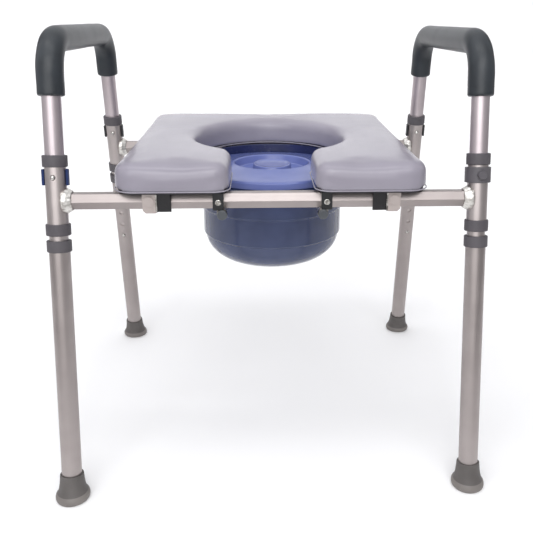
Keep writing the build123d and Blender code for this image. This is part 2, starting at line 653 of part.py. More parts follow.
# --- bucket ------------------------------------------------------------------------------------
def bucket_profile(inset, top):
    """Half section of the bucket's body, drawn inwards by inset, from its floor to a height."""
    base = FLANGE_Z - BUCKET_DEPTH + inset
    belly_top = FLANGE_Z - BUCKET_DEPTH + BUCKET_BELLY
    upper_r, middle_r, lower_r = (BUCKET_R - step * BUCKET_STEP - inset for step in range(3))
    ridge = FLANGE_Z - BUCKET_RIDGE
    arc = EllipticalCenterArc((BUCKET_FLAT_R, belly_top), lower_r - BUCKET_FLAT_R,
                              belly_top - base, start_angle=270, arc_size=90)
    wall = Polyline((lower_r, belly_top), (middle_r, belly_top + BUCKET_STEP), (middle_r, ridge),
                    (upper_r, ridge + BUCKET_STEP), (upper_r, top))
    rest = Polyline((upper_r, top), (0, top), (0, base), (BUCKET_FLAT_R, base))
    return make_face(Curve() + [arc, wall, rest])


def bucket():
    """Round bucket with two ridges, a flange that rests on the rails and a splash guard at the rear."""
    shell = revolve(Plane.XZ * bucket_profile(0, FLANGE_Z + FLANGE_THICKNESS), Axis.Z)
    shell += cylinder(FLANGE_R, FLANGE_Z, FLANGE_Z + FLANGE_THICKNESS)
    high = BOARD_BASE + BOARD_THICKNESS + PAD_THICKNESS
    away = 2 * FLANGE_R
    drop = away / tan(radians(180 - GUARD_ARC / 2))
    open_front = Polyline((0, 0), (away, -drop), (away, -away), (-away, -away), (-away, -drop), close=True)
    guard = pipe(FLANGE_R, GUARD_WALL, FLANGE_Z, high)
    guard -= Pos(0, 0, FLANGE_Z) * extrude(make_face(open_front), high - FLANGE_Z)
    guard -= tilted(block((-away, away), (-away, away), (BOARD_BASE - GUARD_GAP, 2 * high)))
    shell += guard
    shell -= revolve(Plane.XZ * bucket_profile(BUCKET_WALL, high), Axis.Z)
    return Pos(BUCKET_X, 0, 0) * shell


def bucket_lid():
    """Domed lid with a skirt, a round recess and an oval grip."""
    def surface(inset):
        edge_r = LID_R - inset
        shoulder = LID_Z + LID_EDGE - inset
        top = LID_Z + LID_RISE - inset
        floor = top - RECESS_DEPTH
        return [(edge_r, LID_Z), (edge_r, shoulder), (edge_r - 2.0, shoulder + 2.0), (RECESS_R + 4.0, top),
                (RECESS_R, top - 0.6), (RECESS_R - 5.0, floor), (0, floor)]

    outer = surface(0)
    inner = surface(LID_WALL)
    shell = revolve(Plane.XZ * make_face(Polyline(*outer, *reversed(inner), close=True)), Axis.Z)
    floor = LID_Z + LID_RISE - RECESS_DEPTH
    base = Pos(0, HANDLE_OFFSET, floor - LID_WALL / 2) * Ellipse(HANDLE_WIDTH / 2, HANDLE_LENGTH / 2 - 4)
    grip = extrude(base, HANDLE_RISE + LID_WALL / 2, taper=6)
    top = floor + HANDLE_RISE
    dish = Pos(0, HANDLE_OFFSET, top - HANDLE_DISH) * Ellipse(HANDLE_WIDTH / 2 - 6, HANDLE_LENGTH / 2 - 11)
    return Pos(BUCKET_X, 0, 0) * (shell + (grip - extrude(dish, 2 * HANDLE_DISH)))


# --- write every sub-part ----------------------------------------------------------------------
def assembly():
    nodes = {}
    for name, (side, end) in CORNERS.items():
        nodes[f"post_{name}"] = post(side, end)
        nodes[f"leg_tube_{name}"] = leg_tube(side, end)
        nodes[f"leg_collar_{name}"] = leg_collar(side, end)
        nodes[f"leg_washer_{name}"] = leg_washer(side, end)
        nodes[f"foot_{name}"] = foot(side, end)
        nodes[f"arm_button_{name}"] = arm_button(side, end)
        nodes[f"leg_button_{name}"] = leg_button(side, end)
        nodes[f"button_clip_{name}"] = button_clip(side, end, -1 if name == KNOB_FRONT else 1)
    for name, end in ENDS.items():
        nodes[f"crossbar_{name}"] = crossbar(end)
    for name, side in SIDES.items():
        nodes[f"arm_tube_{name}"] = arm_tube(side)
        nodes[f"arm_grip_{name}"] = arm_grip(side)
        nodes[f"bucket_rail_{name}"] = bucket_rail(side)
        nodes[f"seat_hook_{name}"] = on_seat(seat_hook(side))
        nodes[f"bar_bumper_{name}"] = on_seat(bar_bumper(side))
        nodes[f"hinge_clip_{name}"] = on_seat(hinge_clip(side))
    groups = {"weld_beads": weld_bead, "post_top_collars": top_collar, "post_bottom_collars": bottom_collar,
              "leg_spigots": spigot, "rail_end_caps": rail_cap, "rail_clamps": rail_clamp,
              "rail_straps": rail_strap, "clamp_screws": clamp_screw}
    for name, make in groups.items():
        nodes[name] = Compound(children=[make(side, end) for side, end in CORNERS.values()])
    nodes["hook_strips"] = Compound(children=[on_seat(hook_strip(side)) for side in SIDES.values()])
    nodes["seat_screws"] = Compound(children=[on_seat(screw) for screw in seat_screws()])
    nodes["seat_board"] = on_seat(seat_board())
    nodes["seat_pad"] = on_seat(seat_pad())
    nodes["bucket"] = bucket()
    nodes["bucket_lid"] = bucket_lid()
    return nodes


os.makedirs("parts", exist_ok=True)
for node_name, shape in assembly().items():
    export_step(shape, f"parts/{node_name}.step")
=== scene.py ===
import bpy
import bmesh
import json
import math
from mathutils import Matrix, Vector, noise


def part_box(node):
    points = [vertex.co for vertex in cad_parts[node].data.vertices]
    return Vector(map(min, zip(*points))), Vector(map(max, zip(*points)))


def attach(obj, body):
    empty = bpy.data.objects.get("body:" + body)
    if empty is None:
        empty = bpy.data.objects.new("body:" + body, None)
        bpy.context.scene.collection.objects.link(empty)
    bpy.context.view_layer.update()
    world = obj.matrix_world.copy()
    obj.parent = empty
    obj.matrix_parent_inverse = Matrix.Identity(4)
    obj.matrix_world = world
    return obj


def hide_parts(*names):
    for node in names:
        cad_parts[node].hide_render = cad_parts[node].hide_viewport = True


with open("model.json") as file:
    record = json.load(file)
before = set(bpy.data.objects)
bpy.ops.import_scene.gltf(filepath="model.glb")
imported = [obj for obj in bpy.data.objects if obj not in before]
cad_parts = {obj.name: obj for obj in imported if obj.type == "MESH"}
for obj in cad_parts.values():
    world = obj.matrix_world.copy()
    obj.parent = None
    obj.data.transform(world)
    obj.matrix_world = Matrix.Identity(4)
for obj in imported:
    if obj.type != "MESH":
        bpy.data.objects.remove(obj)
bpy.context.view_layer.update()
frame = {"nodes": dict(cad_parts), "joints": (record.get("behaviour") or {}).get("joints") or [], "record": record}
MM = 0.001
SEAT_SLOPE = math.radians(1.3)                    # the seat falls towards the front
GRIP_R = 18.2 * MM                                # outside of the foam on the arms
ARM_R = 12.7 * MM
LEG_R = 14.35 * MM
ARM_BEND_R = 50.0 * MM                            # to the middle of the tube
GAP_HALF = 58.5 * MM                              # half of the gap in the front of the seat
OPENING_HALF_X, OPENING_HALF_Y = 119 * MM, 130 * MM
NOISE_SPAN = {"From_Min": 0.3, "From_Max": 0.7}   # the part of a noise's range that it mostly fills
CORNERS = ("front_left", "front_right", "rear_left", "rear_right")
SIDES = ("left", "right")
joints = {joint["name"]: joint for joint in frame["joints"]}
mounts = {mount["name"]: mount for mount in frame["record"]["mounts"]}


# --- materials -------------------------------------------------------------------------------
def linear(hex_code):
    """An sRGB hex colour as linear RGBA."""
    channels = [int(hex_code[i:i + 2], 16) / 255 for i in (1, 3, 5)]
    return [c / 12.92 if c <= 0.04045 else ((c + 0.055) / 1.055) ** 2.4 for c in channels] + [1.0]


def add(tree, kind, settings=None, **inputs):
    """Adds one node with its settings; inputs are values, node outputs or nodes (their first output).

    Inputs are named as their sockets with _ for a space, or i and the socket's number.
    """
    node = tree.nodes.new("ShaderNode" + kind)
    for name, value in (settings or {}).items():
        setattr(node, name, value)
    for name, value in inputs.items():
        key = int(name[1:]) if name[0] == "i" and name[1:].isdigit() else name.replace("_", " ")
        if isinstance(value, bpy.types.Node):
            value = value.outputs[0]
        if isinstance(value, bpy.types.NodeSocket):
            tree.links.new(value, node.inputs[key])
        else:
            node.inputs[key].default_value = value
    return node


def new_material(name, **surface):
    """A material with its shader; returns the material, its tree and the shader."""
    material = bpy.data.materials.new(name)
    material.use_nodes = True
    tree = material.node_tree
    shader = next(node for node in tree.nodes if node.type == "BSDF_PRINCIPLED")
    for socket, value in surface.items():
        shader.inputs[socket.replace("_", " ")].default_value = value
    return material, tree, shader


def along_tubes(tree, across, along):
    """Coordinates that follow the four raked tubes: streaks run up each tube, whichever corner it is at."""
    up = Vector(joints["leg_slide_rear_right"]["axis"])
    place = add(tree, "SeparateXYZ", Vector=add(tree, "TexCoord").outputs["Object"])
    z = place.outputs["Z"]
    parts = []
    for axis, lean in (("X", up.x / up.z), ("Y", up.y / up.z)):
        away = add(tree, "Math", {"operation": "ABSOLUTE"}, i0=place.outputs[axis])
        level = add(tree, "Math", {"operation": "MULTIPLY_ADD"}, i0=z, i1=-lean, i2=away)
        parts.append(add(tree, "Math", {"operation": "MULTIPLY"}, i0=level, i1=1 / (across * MM)))
    parts.append(add(tree, "Math", {"operation": "MULTIPLY"}, i0=z, i1=1 / (along * MM)))
    return add(tree, "CombineXYZ", X=parts[0], Y=parts[1], Z=parts[2])


def anodised(name, hex_a, hex_b, raked=True):
    """Anodised extruded aluminium: faint draw lines and a satin, slightly warm silver."""
    material, tree, shader = new_material(name, Metallic=1.0)
    place = add(tree, "TexCoord").outputs["Object"]
    # real draw lines are finer than 1.4 mm, and are drawn this coarse so that they show
    if raked:
        line_place = along_tubes(tree, 1.4, 90.0)
    else:
        per_line = [1 / (size * MM) for size in (90.0, 1.4, 1.4)]
        line_place = add(tree, "Mapping", Vector=place, Scale=per_line)
    lines = add(tree, "TexNoise", Vector=line_place, Scale=1.0, Detail=3.0)
    streak = add(tree, "MapRange", Value=lines, **NOISE_SPAN)
    cloud = add(tree, "TexNoise", Vector=place, Scale=1 / (45.0 * MM), Detail=2.0)
    shade = add(tree, "MapRange", Value=cloud, **NOISE_SPAN)
    colour = add(tree, "Mix", {"data_type": "RGBA"}, i0=shade, i6=linear(hex_a), i7=linear(hex_b))
    tree.links.new(colour.outputs[2], shader.inputs["Base Color"])
    rough = add(tree, "MapRange", Value=streak, To_Min=0.38, To_Max=0.46)
    tree.links.new(rough.outputs[0], shader.inputs["Roughness"])
    bump = add(tree, "Bump", Height=streak, Strength=0.12, Distance=0.05 * MM)
    tree.links.new(bump.outputs[0], shader.inputs["Normal"])
    return material


def moulded(name, hex_a, hex_b, roughness, grain, depth, **surface):
    """Moulded plastic or rubber with its mould's fine texture; grain and depth in mm."""
    material, tree, shader = new_material(name, **surface)
    place = add(tree, "TexCoord").outputs["Object"]
    cloud = add(tree, "TexNoise", Vector=place, Scale=1 / (28.0 * MM), Detail=2.0)
    shade = add(tree, "MapRange", Value=cloud, **NOISE_SPAN)
    colour = add(tree, "Mix", {"data_type": "RGBA"}, i0=shade, i6=linear(hex_a), i7=linear(hex_b))
    tree.links.new(colour.outputs[2], shader.inputs["Base Color"])
    speckle = add(tree, "TexNoise", Vector=place, Scale=1 / (grain * MM), Detail=3.0)
    speck = add(tree, "MapRange", Value=speckle, **NOISE_SPAN)
    rough = add(tree, "MapRange", Value=speck, To_Min=roughness - 0.05, To_Max=roughness + 0.06)
    tree.links.new(rough.outputs[0], shader.inputs["Roughness"])
    bump = add(tree, "Bump", Height=speck, Strength=0.6, Distance=depth * MM)
    tree.links.new(bump.outputs[0], shader.inputs["Normal"])
    return material


def plated(name, hex_a, roughness):
    """Bright zinc or nickel plate with small clouding."""
    material, tree, shader = new_material(name, Metallic=1.0)
    place = add(tree, "TexCoord").outputs["Object"]
    cloud = add(tree, "TexNoise", Vector=place, Scale=1 / (5.0 * MM), Detail=2.0)
    shade = add(tree, "MapRange", Value=cloud, **NOISE_SPAN)
    colour = add(tree, "Mix", {"data_type": "RGBA"}, i0=shade, i6=linear(hex_a), i7=linear("#EDEBE6"))
    tree.links.new(colour.outputs[2], shader.inputs["Base Color"])
    rough = add(tree, "MapRange", Value=shade, To_Min=roughness, To_Max=roughness + 0.12)
    tree.links.new(rough.outputs[0], shader.inputs["Roughness"])
    return material


def polyurethane_skin():
    """Self-skinned polyurethane foam: a soft satin skin with a fine leather-like grain from the mould."""
    material, tree, shader = new_material("integral_skin_polyurethane", Specular_IOR_Level=0.5)
    place = add(tree, "TexCoord").outputs["Object"]
    cloud = add(tree, "TexNoise", Vector=place, Scale=1 / (70.0 * MM), Detail=2.0)
    shade = add(tree, "MapRange", Value=cloud, **NOISE_SPAN)
    colour = add(tree, "Mix", {"data_type": "RGBA"}, i0=shade, i6=linear("#8E8A95"), i7=linear("#94909B"))
    tree.links.new(colour.outputs[2], shader.inputs["Base Color"])
    pores = add(tree, "TexNoise", Vector=place, Scale=1 / (0.6 * MM), Detail=2.0)
    pore = add(tree, "MapRange", Value=pores, **NOISE_SPAN)
    rough = add(tree, "MapRange", Value=pore, To_Min=0.2, To_Max=0.27)
    tree.links.new(rough.outputs[0], shader.inputs["Roughness"])
    cell = add(tree, "TexVoronoi", {"feature": "DISTANCE_TO_EDGE"}, Vector=place, Scale=1 / (1.5 * MM))
    crease = add(tree, "MapRange", Value=cell, From_Max=0.12, To_Max=1.0)
    grain = add(tree, "Bump", Height=crease, Strength=0.25, Distance=0.05 * MM)
    waves = add(tree, "TexNoise", Vector=place, Scale=1 / (24.0 * MM), Detail=2.0)
    wave = add(tree, "MapRange", Value=waves, **NOISE_SPAN)
    slack = add(tree, "Bump", Height=wave, Strength=0.35, Distance=0.35 * MM, Normal=grain)
    tree.links.new(slack.outputs[0], shader.inputs["Normal"])
    return material


def nitrile_foam():
    """Closed-cell nitrile foam: matt slate with tiny open cells that catch the light."""
    material, tree, shader = new_material("nitrile_foam", Specular_IOR_Level=0.45)
    place = add(tree, "TexCoord").outputs["Object"]
    speckle = add(tree, "TexNoise", Vector=place, Scale=1 / (0.55 * MM), Detail=4.0)
    speck = add(tree, "MapRange", Value=speckle, **NOISE_SPAN)
    cloud = add(tree, "TexNoise", Vector=place, Scale=1 / (32.0 * MM), Detail=2.0)
    shade = add(tree, "MapRange", Value=cloud, **NOISE_SPAN)
    tone = add(tree, "Math", {"operation": "MULTIPLY_ADD"}, i0=speck, i1=0.5, i2=shade)
    colour = add(tree, "Mix", {"data_type": "RGBA"}, i0=tone, i6=linear("#212529"), i7=linear("#2E3338"))
    tree.links.new(colour.outputs[2], shader.inputs["Base Color"])
    rough = add(tree, "MapRange", Value=speck, To_Min=0.32, To_Max=0.46)
    tree.links.new(rough.outputs[0], shader.inputs["Roughness"])
    cell = add(tree, "TexVoronoi", Vector=place, Scale=1 / (0.9 * MM))
    pits = add(tree, "Bump", Height=cell, Strength=0.35, Distance=0.12 * MM)
    dust = add(tree, "Bump", Height=speck, Strength=0.3, Distance=0.08 * MM, Normal=pits)
    tree.links.new(dust.outputs[0], shader.inputs["Normal"])
    return material


def blown_polypropylene(name, hex_a, hex_b, roughness):
    """Glossy moulded polypropylene: a clear shine broken by shallow flow ripples and tiny scuffs."""
    material, tree, shader = new_material(name, Coat_Weight=0.15, Coat_Roughness=0.12, IOR=1.49)
    place = add(tree, "TexCoord").outputs["Object"]
    cloud = add(tree, "TexNoise", Vector=place, Scale=1 / (38.0 * MM), Detail=2.0)
    shade = add(tree, "MapRange", Value=cloud, **NOISE_SPAN)
    colour = add(tree, "Mix", {"data_type": "RGBA"}, i0=shade, i6=linear(hex_a), i7=linear(hex_b))
    tree.links.new(colour.outputs[2], shader.inputs["Base Color"])
    scuff_place = add(tree, "Mapping", Vector=place, Scale=[1 / (size * MM) for size in (9.0, 9.0, 3.0)])
    scuffs = add(tree, "TexNoise", Vector=scuff_place, Scale=1.0, Detail=2.0)
    scuff = add(tree, "MapRange", Value=scuffs, **NOISE_SPAN)
    rough = add(tree, "MapRange", Value=scuff, To_Min=roughness - 0.02, To_Max=roughness + 0.03)
    tree.links.new(rough.outputs[0], shader.inputs["Roughness"])
    ripples = add(tree, "TexNoise", Vector=place, Scale=1 / (17.0 * MM), Detail=2.0)
    flow = add(tree, "MapRange", Value=ripples, **NOISE_SPAN)
    bump = add(tree, "Bump", Height=flow, Strength=0.1, Distance=0.2 * MM)
    tree.links.new(bump.outputs[0], shader.inputs["Normal"])
    return material


MATERIALS = {
    "tube": anodised("anodised_aluminium_tube", "#BDB5B3", "#B3ABA9"),
    # the arm copy of the anodised aluminium is painted light: lighter than the other tubes because the upper tubes
    # catch more light
    "arm": anodised("anodised_aluminium_arm_painted_light", "#CEC4C7", "#C5BBBE"),
    # the leg copy of the anodised aluminium is painted shade: darker than the other tubes because the low tubes
    # near the floor take less light
    "leg": anodised("anodised_aluminium_leg_painted_shade", "#ACA4A2", "#A39B99"),
    "bar": anodised("anodised_aluminium_crossbar", "#A8A09E", "#A09896", raked=False),
    "weld": plated("aluminium_weld", "#BCB9B4", 0.34),
    "collar": moulded("textured_vinyl_collar", "#4A464B", "#535054", 0.55, 0.8, 0.16),
    "foot_rubber": moulded("ferrule_rubber", "#504C4A", "#5A5654", 0.55, 1.2, 0.08),
    "foot_sole": moulded("ferrule_sole_rubber", "#6C6764", "#78736F", 0.5, 1.2, 0.06),
    "steel": plated("zinc_plated_steel", "#94928E", 0.18),
    "steel_tube": plated("nickel_plated_tube", "#A9A7A4", 0.24),
    "clip_grey": moulded("grey_vinyl_clip", "#4F4C51", "#5A575B", 0.45, 0.8, 0.08),
    "clip_blue": moulded("blue_vinyl_clip", "#08214F", "#0B275A", 0.5, 0.8, 0.05, Specular_IOR_Level=0.3),
    "clip_dark": moulded("dark_vinyl_clip", "#1F1F22", "#28282C", 0.42, 0.8, 0.05),
    "black_plastic": moulded("black_nylon", "#141416", "#1C1C1F", 0.42, 0.7, 0.05),
    "beige_plastic": moulded("beige_nylon", "#A89E9A", "#B0A6A2", 0.42, 0.7, 0.05),
    "grey_plastic": moulded("grey_plug_plastic", "#43464A", "#4E5256", 0.35, 0.7, 0.05),
    "pad": polyurethane_skin(),
    "board": moulded("seat_base_plastic", "#26242B", "#302E36", 0.4, 1.0, 0.04),
    "grip": nitrile_foam(),
    "bucket": blown_polypropylene("slate_polypropylene", "#343D5B", "#3C4667", 0.2),
    # the guard's dark navy is painted shade: the bucket's polypropylene made darker for the shadow under the seat
    "guard": blown_polypropylene("navy_polypropylene_painted_shade", "#1E2449", "#242A54", 0.25),
    "lid": blown_polypropylene("periwinkle_polypropylene", "#5F6BA5", "#6571AB", 0.24),
}


def paint(piece, material):
    piece.data.materials.clear()
    piece.data.materials.append(material)


def paint_frame():
    """Gives every carried-over CAD node its material."""
    slots = {part["node"]: part["material_slot"] for part in frame["record"]["subparts"]}
    for node, piece in frame["nodes"].items():
        # arm tubes take the painted-light copy and leg tubes the painted-shade copy of the one anodised aluminium
        finish = {"crossbar": "bar", "arm_tube": "arm", "leg_tube": "leg"}
        kind = next((key for key in finish if node.startswith(key)), None)
        paint(piece, MATERIALS[finish.get(kind, slots[node])])


# --- mesh helpers ----------------------------------------------------------------------------
def piece_from(bm, name, slot, body, material=None, smooth_angle=40.0):
    """Makes a finished piece from a bmesh, in place, riding on a CAD body."""
    bmesh.ops.remove_doubles(bm, verts=bm.verts, dist=1e-6)
    bmesh.ops.recalc_face_normals(bm, faces=bm.faces)
    mesh = bpy.data.meshes.new(name)
    bm.to_mesh(mesh)
    bm.free()
    mesh.polygons.foreach_set("use_smooth", [True] * len(mesh.polygons))
    mesh.set_sharp_from_angle(angle=math.radians(smooth_angle))
    piece = bpy.data.objects.new(name, mesh)
    bpy.context.scene.collection.objects.link(piece)
    paint(piece, material or MATERIALS[slot])
    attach(piece, body)
    return piece


def ring(bm, radius, centre, normal, segments=48):
    """A circle of edges about a point; returns its edges."""
    turn = Vector(normal).to_track_quat("Z", "Y").to_matrix().to_4x4()
    made = bmesh.ops.create_circle(bm, radius=radius, segments=segments,
                                   matrix=Matrix.Translation(centre) @ turn)
    return sorted({edge for vert in made["verts"] for edge in vert.link_edges}, key=lambda edge: edge.index)


def lathe(bm, outline, centre, steps=96):
    """Spins an outline of (radius, height) points about the upright axis through a point."""
    verts = [bm.verts.new(Vector((centre[0] + radius, centre[1], height))) for radius, height in outline]
    edges = [bm.edges.new(pair) for pair in zip(verts, verts[1:])]
    bmesh.ops.spin(bm, geom=verts + edges, cent=centre, axis=(0, 0, 1), angle=2 * math.pi,
                   steps=steps, use_merge=True)
    bmesh.ops.remove_doubles(bm, verts=bm.verts, dist=1e-6)


def smooth(bm, passes):
    """Relaxes every vertex towards its neighbours, a number of times."""
    for _ in range(passes):
        bmesh.ops.smooth_vert(bm, verts=bm.verts, factor=0.5, use_axis_x=True, use_axis_y=True,
                              use_axis_z=True)


def evenly_faced(source, name, size):
    """An object whose mesh is a CAD node's, merged and rebuilt in even faces of one size."""
    bm = bmesh.new()
    bm.from_mesh(source.data)
    bmesh.ops.remove_doubles(bm, verts=bm.verts, dist=0.01 * MM)
    mesh = bpy.data.meshes.new(name)
    bm.to_mesh(mesh)
    bm.free()
    piece = bpy.data.objects.new(name, mesh)
    bpy.context.scene.collection.objects.link(piece)
    remesh = piece.modifiers.new("even_faces", "REMESH")
    remesh.mode = "VOXEL"
    remesh.voxel_size = size
    even = finished_mesh(piece)
    piece.modifiers.clear()
    piece.data = even
    return piece


def finished_mesh(piece):
    """A new mesh with the piece's modifiers applied."""
    bpy.context.view_layer.update()
    return bpy.data.meshes.new_from_object(piece.evaluated_get(bpy.context.evaluated_depsgraph_get()))


def soften(piece, width, segments=3, angle=30.0):
    """Rounds the piece's hard edges."""
    bevel = piece.modifiers.new("rounded_edges", "BEVEL")
    bevel.width = width
    bevel.segments = segments
    bevel.limit_method = "ANGLE"
    bevel.angle_limit = math.radians(angle)
    bevel.harden_normals = True


# --- arm grips -------------------------------------------------------------------------------
def foam_grip(side):
    """Foam sleeve that follows the arm up, over two bends and down."""
    node = f"arm_grip_{side}"
    low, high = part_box(node)
    up = {}
    ground = {}
    for end in ("front", "rear"):
        corner = f"{end}_{side}"
        up[end] = -Vector(joints[f"leg_slide_{corner}"]["axis"]).normalized()
        ground[end] = Vector(mounts[f"foot_{corner}"]["pos_m"])
    level = high.z - GRIP_R
    foot_z = low.z + GRIP_R * math.sqrt(1 - up["front"].z ** 2)

    def at_height(end, z):
        return ground[end] + up[end] * (z / up[end].z)

    start, knee = at_height("front", foot_z), at_height("front", level)
    far = at_height("rear", level)
    turn = math.acos(up["front"].dot(Vector((0, 1, 0))))
    tangent = ARM_BEND_R * math.tan(turn / 2)
    axis = up["front"].cross(Vector((0, 1, 0))).normalized()
    inward = axis.cross(up["front"])

    bm = bmesh.new()
    edges = ring(bm, ARM_R, start + up["front"] * 0.4 * MM, up["front"])

    def grow(edges, offset, scale=1.0, pivot=None):
        made = bmesh.ops.extrude_edge_only(bm, edges=edges)["geom"]
        verts = [item for item in made if isinstance(item, bmesh.types.BMVert)]
        if scale != 1.0:
            bmesh.ops.scale(bm, vec=(scale,) * 3, verts=verts, space=Matrix.Translation(-pivot))
        bmesh.ops.translate(bm, vec=offset, verts=verts)
        return [item for item in made if isinstance(item, bmesh.types.BMEdge)]

    def middle(edges):
        verts = {vert for edge in edges for vert in edge.verts}
        return sum((vert.co for vert in verts), Vector()) / len(verts)

    def radius_of(edges):
        return (edges[0].verts[0].co - middle(edges)).length

    def step_to(edges, radius, shift):
        centre = middle(edges)
        return grow(edges, shift, radius / radius_of(edges), centre)

    lip = 3.2 * MM
    edges = step_to(edges, GRIP_R - lip - 1.5 * MM, -up["front"] * 0.4 * MM)
    for degrees in (0, 22.5, 45, 67.5, 90):
        angle = math.radians(degrees)
        target = start + up["front"] * lip * (1 - math.cos(angle))
        edges = step_to(edges, GRIP_R - lip + lip * math.sin(angle), target - middle(edges))
    run = (knee - start).length - tangent - lip
    for _ in range(10):
        edges = step_to(edges, GRIP_R, up["front"] * run / 10)

    def bend(edges, centre, axis, angle):
        verts = list({vert for edge in edges for vert in edge.verts})
        made = bmesh.ops.spin(bm, geom=verts + edges, cent=centre, axis=axis, angle=angle,
                              steps=14)["geom_last"]
        return [item for item in made if isinstance(item, bmesh.types.BMEdge)]

    edges = bend(edges, middle(edges) + inward * ARM_BEND_R, axis, turn)
    run = (far - knee).length - 2 * tangent
    for _ in range(24):
        edges = step_to(edges, GRIP_R, Vector((0, run / 24, 0)))
    down = -up["rear"]
    axis_rear = Vector((0, 1, 0)).cross(down).normalized()
    inward = axis_rear.cross(Vector((0, 1, 0)))
    edges = bend(edges, middle(edges) + inward * ARM_BEND_R, axis_rear, turn)
    end_point = at_height("rear", foot_z)
    run = (end_point - middle(edges)).length - lip
    for _ in range(10):
        edges = step_to(edges, GRIP_R, down * run / 10)
    for degrees in (67.5, 45, 22.5, 0):
        angle = math.radians(degrees)
        target = end_point - down * lip * (1 - math.cos(angle))
        edges = step_to(edges, GRIP_R - lip + lip * math.sin(angle), target - middle(edges))
    edges = step_to(edges, GRIP_R - lip - 1.5 * MM, Vector())
    step_to(edges, ARM_R, -down * 0.4 * MM)

    for vert in bm.verts:
        sway = noise.noise(vert.co * 28.0) * 0.35 * MM + noise.noise(vert.co * 75.0) * 0.18 * MM
        vert.co += vert.normal * sway if vert.normal.length else Vector()
    piece = piece_from(bm, f"foam_sleeve_{side}", "grip", "frame", smooth_angle=70.0)
    smooth = piece.modifiers.new("foam_surface", "SUBSURF")
    smooth.levels = smooth.render_levels = 1
    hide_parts(node)


# --- rubber feet -----------------------------------------------------------------------------
def rubber_foot(corner):
    """Flared rubber ferrule: a slanted cup that turns level at its wide sole."""
    node = f"foot_{corner}"
    low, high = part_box(node)
    ground = Vector(mounts[node]["pos_m"])
    up = -Vector(joints[f"leg_slide_{corner}"]["axis"]).normalized()
    sole_r = (high.x - low.x) / 2
    cup_top = 38.3 * MM
    # radius, height up the leg, share of the leg's slant that the ring keeps
    rings = [(LEG_R, cup_top - 7 * MM, 1.0), (LEG_R, cup_top - 0.5 * MM, 1.0),
             (LEG_R + 0.5 * MM, cup_top, 1.0), (LEG_R + 2.0 * MM, cup_top, 1.0),
             (LEG_R + 2.6 * MM, cup_top - 0.7 * MM, 1.0),
             (LEG_R + 2.7 * MM, cup_top - 3.0 * MM, 1.0), (LEG_R + 3.2 * MM, cup_top - 10.0 * MM, 0.95),
             (LEG_R + 4.1 * MM, cup_top - 17.0 * MM, 0.8), (LEG_R + 5.4 * MM, cup_top - 22.5 * MM, 0.6),
             (LEG_R + 6.8 * MM, cup_top - 26.0 * MM, 0.4)]
    base = [(sole_r - 2.6 * MM, 11.0 * MM, 0.3), (sole_r - 0.9 * MM, 9.2 * MM, 0.12),
            (sole_r - 0.1 * MM, 7.0 * MM, 0.0), (sole_r, 5.0 * MM, 0.0),
            (sole_r - 0.5 * MM, 2.2 * MM, 0.0), (sole_r - 1.6 * MM, 0.6 * MM, 0.0),
            (sole_r - 3.0 * MM, 0.0, 0.0), (sole_r - 7.0 * MM, 0.0, 0.0),
            (sole_r - 8.0 * MM, 1.2 * MM, 0.0), (sole_r - 12.0 * MM, 1.2 * MM, 0.0),
            (sole_r - 13.0 * MM, 0.0, 0.0), (2.0 * MM, 0.0, 0.0)]
    for part, outline in (("cup", rings + base[:1]), ("sole", base)):
        bm = bmesh.new()
        previous = None
        for radius, height, slant in outline:
            normal = Vector((0, 0, 1)).lerp(up, slant)
            edges = ring(bm, radius, ground + up * (height / up.z), normal, 64)
            if previous:
                bmesh.ops.bridge_loops(bm, edges=previous + edges)
            previous = edges
        if part == "sole":
            bmesh.ops.contextual_create(bm, geom=previous)
        rubber = MATERIALS["foot_rubber" if part == "cup" else "foot_sole"]
        piece = piece_from(bm, f"ferrule_{part}_{corner}", "foot_rubber", f"leg_{corner}", rubber, 60.0)
        smooth = piece.modifiers.new("moulded_rounding", "SUBSURF")
        smooth.levels = smooth.render_levels = 1
        if part == "cup":
            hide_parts(node)


# --- welds -----------------------------------------------------------------------------------
def weld_ripples():
    """Fillet welds with the overlapping ripples a hand-held torch leaves."""
    piece = evenly_faced(frame["nodes"]["weld_beads"], "even_welds", 0.9 * MM)
    bm = bmesh.new()
    bm.from_mesh(piece.data)
    bpy.data.objects.remove(piece)
    smooth(bm, 6)
    bm.normal_update()
    hinge = Vector(joints["seat_hinge"]["pos_m"])
    for vert in bm.verts:
        bar_y = hinge.y if vert.co.y > 0 else -hinge.y
        around = math.atan2(vert.co.z - hinge.z, vert.co.y - bar_y)
        wave = abs(math.sin(around * 6 + 1.2 * noise.noise(vert.co * 45.0)))
        vert.co += vert.normal * (0.7 * MM * wave - 0.35 * MM + 0.12 * MM * noise.noise(vert.co * 160.0))
    piece = piece_from(bm, "weld_ripples", "weld", "frame", smooth_angle=80.0)
    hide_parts("weld_beads")


